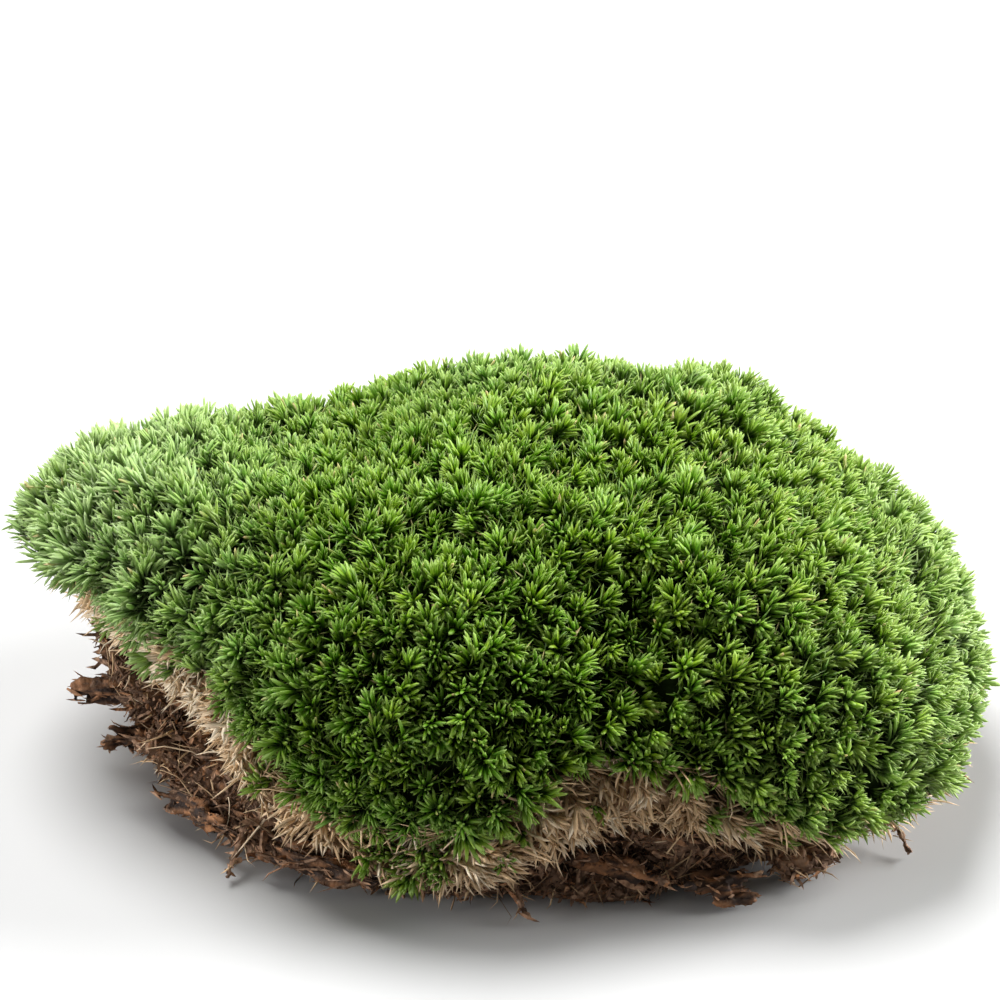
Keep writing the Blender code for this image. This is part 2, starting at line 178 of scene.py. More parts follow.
def shrunk(bm, depth, rounds):
    """Draws a closed form inwards by a depth in small steps, each only as long as it leads deeper inside."""
    skin = BVHTree.FromBMesh(bm)
    step = depth / rounds

    def deeper(place, normal):
        gain = skin.find_nearest(place - normal * step)[3] - skin.find_nearest(place)[3]
        return -step if gain > 0 else 0

    for _ in range(rounds):
        moved_out(bm, deeper)
        smooth(bm)


def lumps(place, size, octaves=3):
    """Fractal noise from about -1 to 1 whose largest lumps are about size across."""
    return noise.fractal(place / size, 0.9, 2.1, octaves, noise_basis="PERLIN_ORIGINAL")


def lumps_at(places, size):
    return np.array([lumps(Vector(place), size, 2) for place in places])


def drift_at(places, size):
    """A direction for every place that changes slowly, over about size."""
    return np.array([noise.noise_vector(Vector(place) / size) for place in places])


def unit(vectors):
    return vectors / np.maximum(np.linalg.norm(vectors, axis=-1, keepdims=True), 1e-9)


def outwards(places):
    """The level direction from the clump's middle to each place."""
    return unit(places * [1, 1, 0])


def strayed(ways, amount, rng):
    return unit(ways + rng.normal(0, amount, ways.shape))


def varied(rng, spread, least, most, count, middle=0.0):
    """Sizes around 1, some of them much bigger or smaller."""
    return np.exp(rng.normal(middle, spread, count)).clip(least, most)


def scattered(bm, spacing, rng, wanted):
    """Places about spacing apart on a surface where wanted(place, normal) holds: their places and normals."""
    bmesh.ops.triangulate(bm, faces=bm.faces)
    bm.normal_update()
    bm.verts.index_update()
    corners = np.array([vert.co for vert in bm.verts])
    normals = np.array([vert.normal for vert in bm.verts])
    faces = np.array([[vert.index for vert in face.verts] for face in bm.faces])
    sides = corners[faces[:, 1:]] - corners[faces[:, :1]]
    areas = np.linalg.norm(np.cross(sides[:, 0], sides[:, 1]), axis=1) / 2
    tries = int(areas.sum() / spacing**2 * DARTS)
    picked = rng.choice(len(faces), tries, p=areas / areas.sum())
    share = rng.random((tries, 2))
    over = share.sum(axis=1) > 1
    share[over] = 1 - share[over]
    weights = np.column_stack([1 - share.sum(axis=1), share])[:, :, None]
    places = (corners[faces[picked]] * weights).sum(axis=1)
    out = (normals[faces[picked]] * weights).sum(axis=1)
    out /= np.linalg.norm(out, axis=1, keepdims=True)
    taken = {}
    kept = []
    for i, place in enumerate(places):
        cell = tuple(np.floor(place / spacing).astype(int))
        near = (
            other
            for x in (-1, 0, 1)
            for y in (-1, 0, 1)
            for z in (-1, 0, 1)
            for other in taken.get((cell[0] + x, cell[1] + y, cell[2] + z), ())
        )
        if any(np.sum((places[other] - place) ** 2) < spacing**2 for other in near):
            continue
        if not wanted(Vector(place), Vector(out[i])):
            continue
        taken.setdefault(cell, []).append(i)
        kept.append(i)
    return places[kept], out[kept]


# ---------------------------------------------------------------- many small pieces as one mesh

Form = namedtuple("Form", "points faces map")


def form_of(bm):
    """A finished bmesh as arrays: points, triangles, and a place in a unit square for every point."""
    bmesh.ops.triangulate(bm, faces=bm.faces)
    bmesh.ops.recalc_face_normals(bm, faces=bm.faces)
    bm.verts.index_update()
    points = np.array([vert.co for vert in bm.verts])
    faces = np.array([[vert.index for vert in face.verts] for face in bm.faces])
    low = points.min(axis=0)
    size = points.max(axis=0) - low
    bm.free()
    return Form(points, faces, ((points - low) / size)[:, :2])


def blade_form(levels):
    """A leaf: across from -1 to 1, along from 0 to 1, and a keel below. levels are (along, half width)."""
    bm = bmesh.new()
    bmesh.ops.create_cone(bm, cap_ends=True, segments=3, radius1=1, radius2=0, depth=1)
    bmesh.ops.remove_doubles(bm, verts=bm.verts, dist=0.001)
    for along, _ in levels[1:]:
        everything = bm.verts[:] + bm.edges[:] + bm.faces[:]
        bmesh.ops.bisect_plane(bm, geom=everything, plane_co=(0, 0, along - 0.5), plane_no=(0, 0, 1))
    widths = dict((round(along, 3), width) for along, width in levels)
    for vert in bm.verts:
        along = vert.co.z + 0.5
        width = widths.get(round(along, 3), 0)
        radius = max(1e-6, 1 - along)
        across = vert.co.x / radius / math.cos(math.radians(30)) * width
        keel = -(vert.co.y / radius + 0.5) / 1.5 * width
        vert.co = (across, along, keel) if width else (0, 1, 0)
    return form_of(bm)


def crumb_form(rng, corners, flat):
    """An angular crumb about one unit across: the hull of a few random points."""
    bm = bmesh.new()
    for _ in range(corners):
        way = Vector(rng.normal(size=3)).normalized() * rng.uniform(0.35, 0.5)
        bm.verts.new((way.x, way.y, way.z * flat))
    bmesh.ops.convex_hull(bm, input=bm.verts)
    loose = [vert for vert in bm.verts if not vert.link_faces]
    bmesh.ops.delete(bm, geom=loose, context="VERTS")
    return form_of(bm)


def sideways(ways):
    """Two directions at right angles to each way and to each other."""
    helper = np.where(np.abs(ways[..., 2:3]) < 0.9, [0.0, 0.0, 1.0], [1.0, 0.0, 0.0])
    first = unit(np.cross(ways, helper))
    return first, np.cross(ways, first)


def blades(form, places, ways, up, lengths, widths, bends):
    """Points of many leaves. Each starts at its place, goes its way with its face to up, and bends down."""
    side = unit(np.cross(ways, up))
    face = np.cross(side, ways)
    across, along, keel = form.points.T
    bends = np.where(np.abs(bends) < 0.02, 0.02, bends)[:, None]
    turn = bends * along
    forward = np.sin(turn) / bends * lengths[:, None]
    drop = (np.cos(turn) - 1) / bends * lengths[:, None]
    half = widths[:, None] / 2
    reach = forward + np.sin(turn) * keel * half
    rise = drop + np.cos(turn) * keel * half
    return (
        places[:, None]
        + ways[:, None] * reach[..., None]
        + face[:, None] * rise[..., None]
        + side[:, None] * (across * half)[..., None]
    )


def turned(form, places, ways, sizes, along=None):
    """Points of many crumbs: each at its place, its flat side turned to its way, its length along another."""
    first = sideways(ways)[0] if along is None else unit(along - ways * (along * ways).sum(axis=1)[:, None])
    axes = np.stack([first, np.cross(ways, first), ways], axis=1)
    scaled = (sizes[:, None] * form.points[None]).transpose(0, 2, 1)
    return places[:, None] + np.einsum("nkc,nki->nci", scaled, axes)


def add_layer(mesh, name, values):
    """Gives a mesh one value for each of its corners, for the material to read."""
    layer = mesh.attributes.new(name, "FLOAT", "POINT")
    layer.data.foreach_set("value", np.asarray(values, np.float32))


def joined(name, parts, material, rounded):
    """One object from parts (form, points of every copy, {attribute: value of every copy or point})."""
    points, faces, maps, values = [], [], [], {}
    start = 0
    copies = sum(len(part[1]) for part in parts)
    grid = math.ceil(math.sqrt(copies))
    cell = 0
    for form, copy_points, attributes in parts:
        count, corners = copy_points.shape[:2]
        points.append(copy_points.reshape(-1, 3))
        steps = start + corners * np.arange(count)
        faces.append((form.faces[None] + steps[:, None, None]).reshape(-1, 3))
        place = np.arange(cell, cell + count)
        origin = np.stack([place % grid, place // grid], axis=1)
        inside = CELL_EDGE + (1 - 2 * CELL_EDGE) * form.map
        maps.append(((origin[:, None] + inside[None]) / grid).reshape(-1, 2))
        for key, value in attributes.items():
            value = np.broadcast_to(np.asarray(value, float).reshape(count, -1), (count, corners))
            values.setdefault(key, []).append(value.reshape(-1))
        start += count * corners
        cell += count
    points = np.concatenate(points)
    points[:, 2] = np.maximum(points[:, 2], FLOOR_GAP)
    faces = np.concatenate(faces)
    mesh = bpy.data.meshes.new(name)
    mesh.vertices.add(len(points))
    mesh.vertices.foreach_set("co", points.astype(np.float32).ravel())
    mesh.loops.add(faces.size)
    mesh.loops.foreach_set("vertex_index", faces.astype(np.int32).ravel())
    mesh.polygons.add(len(faces))
    mesh.polygons.foreach_set("loop_start", np.arange(0, faces.size, 3, dtype=np.int32))
    mesh.update(calc_edges=True)
    mesh.polygons.foreach_set("use_smooth", np.full(len(faces), rounded))
    for key, value in values.items():
        add_layer(mesh, key, np.concatenate(value))
    cells = mesh.uv_layers.new(name="OFBake")
    cells.uv.foreach_set("vector", np.concatenate(maps)[faces.ravel()].astype(np.float32).ravel())
    return finished(name, mesh, material)


def finished(name, mesh, material):
    mesh.materials.append(material)
    obj = bpy.data.objects.new(name, mesh)
    bpy.context.scene.collection.objects.link(obj)
    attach(obj, BODY)
    return obj


def solid_piece(name, bm, material):
    """A finished bmesh as a smooth piece of the clump."""
    for vert in bm.verts:
        vert.co.z = max(vert.co.z, FLOOR_GAP)
    mesh = bpy.data.meshes.new(name)
    bm.to_mesh(mesh)
    bm.free()
    mesh.shade_smooth()
    return finished(name, mesh, material)


# ---------------------------------------------------------------- materials


def surface(name, roughness, specular):
    """A new material: its node tree and its Principled shader."""
    material = bpy.data.materials.new(name)
    material.use_nodes = True
    tree = material.node_tree
    shader = tree.nodes["Principled BSDF"]
    shader.inputs["Roughness"].default_value = roughness
    shader.inputs["Specular IOR Level"].default_value = specular
    return material, tree, shader


def attribute(tree, name):
    node = tree.nodes.new("ShaderNodeAttribute")
    node.attribute_name = name
    return node.outputs["Fac"]


def mixed(tree, factor, first, second):
    """A colour between two, each a colour or a socket."""
    node = tree.nodes.new("ShaderNodeMix")
    node.data_type = "RGBA"
    sockets = [s for s in node.inputs if s.type == "RGBA"]
    for socket, value in zip(sockets, (first, second)):
        if isinstance(value, bpy.types.NodeSocket):
            tree.links.new(value, socket)
        else:
            socket.default_value = (*value, 1)
    tree.links.new(factor, node.inputs["Factor"])
    return next(s for s in node.outputs if s.type == "RGBA")


def spread(tree, value, low, high, out_low=0.0, out_high=1.0):
    """A value stretched from low..high to out_low..out_high, and clamped."""
    node = tree.nodes.new("ShaderNodeMapRange")
    tree.links.new(value, node.inputs["Value"])
    node.inputs["From Min"].default_value = low
    node.inputs["From Max"].default_value = high
    node.inputs["To Min"].default_value = out_low
    node.inputs["To Max"].default_value = out_high
    return node.outputs["Result"]


def times(tree, first, second):
    node = tree.nodes.new("ShaderNodeMath")
    node.operation = "MULTIPLY"
    tree.links.new(first, node.inputs[0])
    tree.links.new(second, node.inputs[1])
    return node.outputs["Value"]


def grain(tree, size, detail=4.0):
    """Noise in Object coordinates whose lumps are about size across."""
    place = tree.nodes.new("ShaderNodeTexCoord")
    node = tree.nodes.new("ShaderNodeTexNoise")
    node.inputs["Scale"].default_value = 1 / size
    node.inputs["Detail"].default_value = detail
    tree.links.new(place.outputs["Object"], node.inputs["Vector"])
    return node.outputs["Fac"]


def bumped(tree, shader, height, distance):
    node = tree.nodes.new("ShaderNodeBump")
    node.inputs["Distance"].default_value = distance
    node.inputs["Strength"].default_value = 1.0
    tree.links.new(height, node.inputs["Height"])
    tree.links.new(node.outputs["Normal"], shader.inputs["Normal"])


def let_light_through(tree, shader, colour, share):
    """Mixes a share of light that passes through into the surface."""
    through = tree.nodes.new("ShaderNodeBsdfTranslucent")
    tree.links.new(colour, through.inputs["Color"])
    both = tree.nodes.new("ShaderNodeMixShader")
    both.inputs["Fac"].default_value = share
    tree.links.new(shader.outputs["BSDF"], both.inputs[1])
    tree.links.new(through.outputs["BSDF"], both.inputs[2])
    tree.links.new(both.outputs["Shader"], tree.nodes["Material Output"].inputs["Surface"])


LEAF_LIGHT = 0.45  # the share of the light that passes through a leaf


def leaf_material(colours):
    """Living leaves: dark at the stem, paler to the tip, more yellow here and whitish there. The dark at the
    stem and on low leaves is partly painted shade; the yellowing and whitening on the right and in front are
    partly painted light.
    """
    material, tree, shader = surface("living_leaves", 0.42, 0.32)
    along = attribute(tree, "along")
    # dark towards the stem: partly the leaf's own colour, partly painted shade where the leaves crowd
    blade = mixed(tree, spread(tree, along, 0.0, 0.5), colours.leaf_deep, colours.leaf)
    yellow = mixed(tree, spread(tree, attribute(tree, "tint"), 0.25, 1.0), blade, colours.leaf_yellow)
    blade = mixed(tree, spread(tree, along, 0.15, 0.6), blade, yellow)
    tipped = mixed(tree, spread(tree, along, 0.5, 1.0, 0.0, 0.9), blade, colours.leaf_tip)
    # whitish leaves: their own colour on the left lobe and crown, painted light in front and partly on the
    # right
    pale = times(tree, attribute(tree, "paleness_and_light"), spread(tree, along, 0.0, 0.65, 0.6, 1.0))
    whitened_and_lit = mixed(tree, pale, tipped, colours.leaf_pale)
    # leaves near a shoot's foot, low shoots and the front of the middle darken towards the leaf base colour:
    # partly older leaves, partly painted shade
    age_and_shade = mixed(tree, attribute(tree, "age_and_shade"), whitened_and_lit, colours.leaf_deep)
    dry = times(tree, attribute(tree, "dry"), spread(tree, along, 0.35, 0.95))
    dried = mixed(tree, dry, age_and_shade, colours.straw)
    tree.links.new(dried, shader.inputs["Base Color"])
    let_light_through(tree, shader, dried, LEAF_LIGHT)
    return material


def core_material(colours):
    """The inside of the cushion, near black as painted shade, of which only gaps between the leaves show
    anything.
    """
    material, _, shader = surface("cushion_core", 1.0, 0.0)
    shader.inputs["Base Color"].default_value = (*colours.core, 1)
    return material


def straw_material(colours):
    """Dead leaves: from rotten brown to bleached straw; the bleached straw on the left is partly painted
    light.
    """
    material, tree, shader = surface("dead_leaves", 0.75, 0.2)
    tint = attribute(tree, "tint")
    brown = mixed(tree, spread(tree, tint, 0.0, 0.5), colours.straw_dark, colours.straw)
    # bleached straw: partly the dead leaves' own colour, partly painted light on the left
    bleached = mixed(tree, spread(tree, tint, 0.5, 1.0), brown, colours.straw_pale)
    stained = mixed(tree, spread(tree, grain(tree, 5 * MM), 0.55, 0.8), bleached, colours.straw_dark)
    tree.links.new(stained, shader.inputs["Base Color"])
    return material


def mat_material(colours):
    """The matted ground of the dead leaves: straw with rotten patches."""
    material, tree, shader = surface("dead_mat", 0.95, 0.1)
    patches = spread(tree, grain(tree, 2.5 * MM), 0.48, 0.85)
    matted = mixed(tree, patches, colours.straw_dark, colours.straw)
    tree.links.new(matted, shader.inputs["Base Color"])
    bumped(tree, shader, grain(tree, 0.8 * MM), 0.4 * MM)
    return material


def humus_material(colours):
    """Damp humus: near black, with patches of dry brown grains and flecks of warm fibre."""
    material, tree, shader = surface("humus", 0.85, 0.25)
    patches = spread(tree, grain(tree, 4 * MM, 5), 0.42, 0.72)
    soil = mixed(tree, patches, colours.humus, colours.humus_dry)
    fibres = spread(tree, grain(tree, 0.9 * MM, 3), 0.55, 0.75)
    speckled = mixed(tree, fibres, soil, colours.bark_warm)
    tree.links.new(speckled, shader.inputs["Base Color"])
    bumped(tree, shader, grain(tree, 0.9 * MM, 6), 0.5 * MM)
    return material


def crumb_material(colours):
    """Crumbs, chips and shreds: each its own brown, from damp humus to torn bark."""
    material, tree, shader = surface("crumbs", 0.85, 0.25)
    tint = attribute(tree, "tint")
    dark = mixed(tree, spread(tree, tint, 0.0, 0.6), colours.humus, colours.humus_dry)
    warm = mixed(tree, spread(tree, tint, 0.6, 1.0), dark, colours.bark_warm)
    # random darker mottling at about a millimetre: the crumbs' own colour
    mottled = mixed(tree, spread(tree, grain(tree, 1.0 * MM, 4), 0.4, 0.7), warm, colours.humus)
    tree.links.new(mottled, shader.inputs["Base Color"])
    bumped(tree, shader, grain(tree, 0.5 * MM, 4), 0.2 * MM)
    return material


def bark_material(colours):
    """Rotting bark: warm ridges over dark grooves, with grain along the flake. The near-black grooves and
    light ridges are partly painted shade and light.
    """
    material, tree, shader = surface("bark", 0.7, 0.3)
    ridge = spread(tree, attribute(tree, "ridge"), 0.3, 0.85)
    fibre = spread(tree, attribute(tree, "fibre"), 0.3, 0.7)
    lit = mixed(tree, times(tree, ridge, fibre), colours.bark, colours.bark_warm)
    tree.links.new(lit, shader.inputs["Base Color"])
    bumped(tree, shader, grain(tree, 0.5 * MM, 5), 0.25 * MM)
    return material


# ---------------------------------------------------------------- the living cushion

CORE_DEPTH = 5.2 * MM  # from the cushion's surface to its dark core
GUIDE_VOXEL = 1.6 * MM  # grid of the smoothed forms that shoots are set on
UNDERSIDE = -0.55  # where the cushion's normal points lower than this, nothing green grows
LAYER_GAP = 1.2 * MM  # living shoots keep this far from the layers below
FINE_LEAVES = 13  # the uppermost leaves of a shoot, which show most and have one more bend
PLAIN_LEAVES = 24  # from this leaf down they are mere spikes
TOP_TILT = 9  # degrees that the uppermost leaf stands off the stem
LOW_LEAVES = 12  # on one of the low shoots that fill the gaps
LOW_SPACING = 1.07  # of the spacing of the others
LOW_DEPTHS = (2.8, 4.0)  # millimetres below the cushion's surface
LOW_COVER = 2.6 * MM  # low shoots with less than this over them are left out
HUMMOCK = 14 * MM  # width of the cushion's small humps
LEAN_PATCH = 9 * MM  # neighbouring shoots lean alike over about this width
SWEEP_PATCH = 7 * MM  # and their leaves are swept alike over this one
SWEEP_CENTRE = (-12, -25, 0)  # millimetres; leaves are swept away from here
RIM = 7 * MM  # width of the rim where shoots lean outwards
LEAST_UPRIGHT = 0.75  # of a shoot's axis, along the cushion's normal
STRAY_GAPS = (1.2 * MM, 4.5 * MM)  # from the cushion to the strays on the dead leaves beside it
STRAY_SPACING = 4.6 * MM
STRAY_PATCH = 12 * MM  # strays stand in patches about this wide
TONGUE = Vector((-16, -57, 11)) * MM  # the middle of where living shoots hang lowest
TONGUE_REACH = 8 * MM
TONGUE_FOOT = 6.5 * MM  # nothing of the tongue is set lower
TONGUE_SPACING = 2.5 * MM


def in_cushion(place, normal, others):
    """Whether living leaves grow at a place: not where other layers touch it, and not underneath."""
    if normal.z < UNDERSIDE:
        return False
    return all(tree.find_nearest(place)[3] > LAYER_GAP for tree in others)


def in_tongue(place, normal):
    """Whether a place is where living shoots hang low over the dead leaves in front."""
    return (place - TONGUE).length < TONGUE_REACH and place.z > TONGUE_FOOT and normal.z > -0.5


def paleness_and_light_at(places):
    """How whitish the leaves are: most on the left lobe, less behind the crown, on the right and in front. On
    the right this is partly painted light, and in front it is painted light.
    """
    x, y, z = places.T / MM
    left = np.clip((-x - 30) / 36, 0, 1) * np.clip((z - 18) / 12, 0.2, 1)
    rim = np.clip((z - 46) / 10, 0, 1) * np.clip((y - 8) / 22, 0, 1)
    # on the right: partly the leaves' own paler tips, partly painted light
    right = 0.22 * np.clip((x - 25) / 40, 0, 1) + 0.35 * np.clip((x - 58) / 20, 0, 1)
    # in front: painted light that brightens the low leaves
    front = np.clip((28 - z) / 14, 0, 1) * np.clip((-y - 30) / 15, 0, 1)
    return np.clip(0.85 * left + 0.4 * rim + right + 0.18 * front, 0, 1)


def front_shade_at(places):
    """Painted shade: how much the leaves are darkened, most low in front of the middle."""
    x, y, z = places.T / MM
    return np.exp(-(((x + 14) / 22) ** 2) - ((y + 34) / 20) ** 2 - ((z - 30) / 16) ** 2)


def bleach_and_light_at(places):
    """How bleached the dead leaves are: most where they lie open on the left. There it is partly painted
    light that brightens them.
    """
    return np.clip((-places[:, 0] / MM - 30) / 25, 0, 1)


def leaf_scale_at(places):
    """How big the leaves are: biggest on the left lobe."""
    return 1 + 0.25 * np.clip((-places[:, 0] / MM - 42) / 26, 0, 1)


Shoots = namedtuple("Shoots", "places axes sweeps scales spreads")


def sweeps_at(places, axes, rng):
    """Which way the leaves of each shoot are swept: much as their neighbours' are, and outwards."""
    outward = (places / MM - SWEEP_CENTRE) * [1 / 60, 1 / 55, 0]
    ways = drift_at(places, SWEEP_PATCH) * 1.4 + [0, 0, 0.25] + outward * 1.1
    ways = ways + rng.normal(0, 0.35, places.shape)
    flat = ways - axes * (ways * axes).sum(axis=1)[:, None]
    strength = rng.uniform(0.25, 0.85, (len(places), 1)) + 0.35 * np.clip(places[:, :1] / (45 * MM), 0, 1)
    return unit(flat) * strength


def shoot_leaves(form, shoots, steps, leaves, sizes, rng, depth):
    """Leaves of many shoots in a golden spiral, for some steps of it: upright on top, wider further down."""
    step = np.asarray(steps)
    share = np.broadcast_to(step / (leaves - 1), (len(shoots.places), len(step)))
    axes = shoots.axes[:, None]
    turn = step * GOLDEN_ANGLE + rng.normal(0, 0.25, share.shape)
    opening = (shoots.spreads[:, None] - TOP_TILT) * share**0.75
    tilt = np.radians(TOP_TILT + opening + rng.normal(0, 10, share.shape))
    first, second = sideways(shoots.axes)
    out = first[:, None] * np.cos(turn)[..., None] + second[:, None] * np.sin(turn)[..., None]
    swept = shoots.sweeps[:, None] * (0.4 + 0.6 * share)[..., None]
    ways = unit(axes * np.cos(tilt)[..., None] + out * np.sin(tilt)[..., None] + swept)
    size = shoots.scales[:, None]
    lengths = sizes.leaf_length * size * (0.66 + 0.34 * share**0.5) * rng.normal(1, 0.1, share.shape)
    widths = sizes.leaf_width * (0.8 + 0.2 * share) * size**0.9 * rng.normal(1, 0.1, share.shape)
    roots = shoots.places[:, None] - axes * (share * depth)[..., None] + out * 0.3 * MM
    bends = rng.normal(0.25, 0.4, share.shape)
    up = axes - swept
    points = blades(
        form,
        roots.reshape(-1, 3),
        ways.reshape(-1, 3),
        up.reshape(-1, 3),
        lengths.ravel(),
        widths.ravel(),
        bends.ravel(),
    )
    return points, share.ravel()


def deep_within(tree, places):
    """Which places lie inside a closed form, with enough of it over them for a low shoot."""
    inside = []
    for place in places:
        spot, normal, _, distance = tree.find_nearest(Vector(place))
        inside.append(distance > LOW_COVER and (Vector(place) - spot).dot(normal) < 0)
    return np.array(inside)


def low_shoots(form, places, normals, sizes, rng):
    """The short shoots that fill the gaps deep among the others, as a part to join."""
    count = len(places)
    axes = strayed(normals, 0.3, rng)
    sweeps = sweeps_at(places, axes, rng)
    scales = rng.uniform(0.9, 1.2, count)
    shoots = Shoots(places, axes, sweeps, scales, rng.uniform(60, 85, count))
    points, share = shoot_leaves(form, shoots, range(LOW_LEAVES), LOW_LEAVES, sizes, rng, 1.5 * MM)
    values = {
        "along": np.broadcast_to(form.points[:, 1], points.shape[:2]),
        "tint": rng.random(len(share)),
        "dry": (rng.random(len(share)) < 0.05) * 0.7,
        "paleness_and_light": np.repeat(paleness_and_light_at(places), LOW_LEAVES) * 0.9,
        # low shoots deep in the gaps are darkened: painted shade
        "age_and_shade": np.full(len(share), 0.35),
    }
    return form, points, values


class MOSS_OT_core(bpy.types.Operator):
    """Makes the inside of the cushion, near black as painted shade, which shows between the shoots"""

    bl_idname = "moss.core"
    bl_label = "Cushion core"

    def execute(self, context):
        bm = evened(merged_copy(CUSHION), 1.7 * MM, 4)
        shrunk(bm, CORE_DEPTH, 8)
        moved_out(bm, lambda place, normal: 0.8 * MM * lumps(place, 4 * MM))
        obj = solid_piece("cushion_core", bm, core_material(context.scene.moss_colours))
        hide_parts(CUSHION)
        return {"FINISHED"}


class MOSS_OT_shoots(bpy.types.Operator):
    """Grows the leafy shoots of the cushion, in four pieces from left to right"""

    bl_idname = "moss.shoots"
    bl_label = "Living shoots"

    def execute(self, context):
        sizes = context.scene.moss_sizes
        rng = np.random.default_rng(5)
        dead, pad, cushion = tree_of(DEAD), tree_of(PAD), tree_of(CUSHION)
        guide = evened(merged_copy(CUSHION), GUIDE_VOXEL, 14)

        def green(place, normal):
            return in_cushion(place, normal, (dead, pad)) or in_tongue(place, normal)

        places, normals = scattered(guide, sizes.shoot_spacing, rng, green)
        low, low_normals = scattered(guide, sizes.shoot_spacing * LOW_SPACING, rng, green)
        sunk = low - low_normals * rng.uniform(*LOW_DEPTHS, (len(low), 1)) * MM
        inside = deep_within(BVHTree.FromBMesh(guide), sunk)
        low, low_normals = sunk[inside], low_normals[inside]
        guide.free()

        def at_the_rim(place, normal):
            near, far = STRAY_GAPS
            return near < cushion.find_nearest(place)[3] < far and lumps(place, STRAY_PATCH, 2) > 0.2

        guide = evened(merged_copy(DEAD), GUIDE_VOXEL, 6)
        strays, stray_normals = scattered(guide, STRAY_SPACING, rng, at_the_rim)
        tongue, tongue_normals = scattered(guide, TONGUE_SPACING, rng, in_tongue)
        strays = np.concatenate([strays, tongue])
        stray_normals = np.concatenate([stray_normals, tongue_normals])
        guide.free()

        hummock = lumps_at(places, HUMMOCK)
        valley = np.exp(-((hummock / 0.12) ** 2))
        rim = np.array([dead.find_nearest(Vector(place))[3] for place in places])
        rim = np.clip(1 - rim / RIM, 0, 1)[:, None]
        outward = outwards(places) * 0.35 - [0, 0, 0.35]
        axes = normals * 0.75 + [0, 0, 0.4] * (1 - rim) + outward * rim + drift_at(places, LEAN_PATCH) * 0.7
        axes = strayed(axes, 0.3, rng)
        upright = (axes * normals).sum(axis=1)
        axes = unit(axes + normals * np.clip(LEAST_UPRIGHT - upright, 0, 1)[:, None])
        depth = -1.1 + 1.7 * hummock - 2.2 * valley + rng.normal(0, 0.8, len(places))
        places = places + normals * depth.clip(-5, -0.6)[:, None] * MM
        stray_axes = strayed(stray_normals * 0.6 + outwards(strays) * 0.5, 0.25, rng)
        places = np.concatenate([places, strays + stray_axes * 0.3 * MM])
        axes = np.concatenate([axes, stray_axes])
        rim = np.concatenate([rim[:, 0], np.ones(len(strays))])

        fine = blade_form([(0, 0.6), (0.42, 1.0), (0.84, 0.74)])
        plain = blade_form([(0, 0.7), (0.68, 0.9)])
        spike = blade_form([(0, 0.85)])
        leaves = sizes.leaves
        rounds = (
            (fine, range(FINE_LEAVES)),
            (plain, range(FINE_LEAVES, PLAIN_LEAVES)),
            (spike, range(PLAIN_LEAVES, leaves)),
        )
        material = leaf_material(context.scene.moss_colours)
        order = np.argsort(places[:, 0])
        low_order = np.array_split(np.argsort(low[:, 0]), 4)
        names = ("left", "middle_left", "middle_right", "right")
        for name, group, low_group in zip(names, np.array_split(order, 4), low_order):
            count = len(group)
            spots = places[group]
            scales = leaf_scale_at(spots) * rng.normal(1, 0.15, count).clip(0.6, 1.35)
            spreads = rng.uniform(40, 78, count)
            shoots = Shoots(spots, axes[group], sweeps_at(spots, axes[group], rng), scales, spreads)
            # leaves on the right are more yellow and brighter: partly their own colour, partly painted light;
            # near the rim their own yellowing
            yellower = 0.5 * np.clip(spots[:, 0] / (60 * MM), 0, 1) + 0.35 * rim[group]
            shoot_tint = np.clip(rng.random(count) + yellower, 0, 1.3)
            paleness_and_light = paleness_and_light_at(spots)
            front_shade = front_shade_at(spots)
            parts = []
            for form, steps in rounds:
                points, share = shoot_leaves(form, shoots, steps, leaves, sizes, rng, sizes.stem_depth)
                tint = np.repeat(shoot_tint, len(steps)) * 0.6 + rng.random(len(share)) * 0.4
                dry = (rng.random(len(share)) < 0.02) * rng.uniform(0.2, 0.9, len(share))
                # whitish leaves: partly painted light on the right and in front
                pale = np.repeat(paleness_and_light, len(steps)) * rng.uniform(0.5, 1.0, len(share))
                # the bottom half of a shoot's leaves darkens: partly older leaves, partly painted shade deep
                # in the cushion
                age_and_shade = np.clip(share * 1.5 - 0.75, 0, 1) * 0.7
                # leaves low in front of the middle are darkened further towards the leaf base colour: painted
                # shade
                age_and_shade = np.maximum(age_and_shade, 0.36 * np.repeat(front_shade, len(steps)))
                along = np.broadcast_to(form.points[:, 1], points.shape[:2])
                values = {"along": along, "tint": tint, "dry": dry, "paleness_and_light": pale, "age_and_shade": age_and_shade}
                parts.append((form, points, values))
            parts.append(low_shoots(spike, low[low_group], low_normals[low_group], sizes, rng))
            obj = joined("shoots_" + name, parts, material, rounded=True)
        return {"FINISHED"}


# ---------------------------------------------------------------- dead leaves

MAT_VOXEL = 1.2 * MM
MAT_DEPTH = 1.5 * MM  # from the layer's surface to its matted ground
TUFT_LEAVES = 9  # in one of the flat tufts
TUFT_SPACING = 1.9 * MM
ROSETTE_LEAVES = 13  # in one of the bleached rosettes
ROSETTE_SPACING = 3.6 * MM


def combed(places, normals, rng, down, stray):
    """Which way dead leaves lie: outwards and down over the surface, in tufts."""
    around = np.cross([0.0, 0.0, 1.0], outwards(places))
    swirl = lumps_at(places, 9 * MM)
    ways = outwards(places) * 0.9 + [0, 0, -down]
    ways = ways + around * (2.6 * swirl)[:, None] + rng.normal(0, stray, places.shape)
    along_surface = ways - normals * ((ways * normals).sum(axis=1) * 0.8)[:, None]
    return unit(unit(along_surface) + normals * rng.normal(0.12, 0.14, len(places))[:, None])


def leaf_tints(tints, leaves, rng):
    """The tint of every leaf, near that of its own tuft or rosette."""
    return np.clip(np.repeat(tints, leaves) + rng.normal(0, 0.1, len(tints) * leaves), 0, 1)


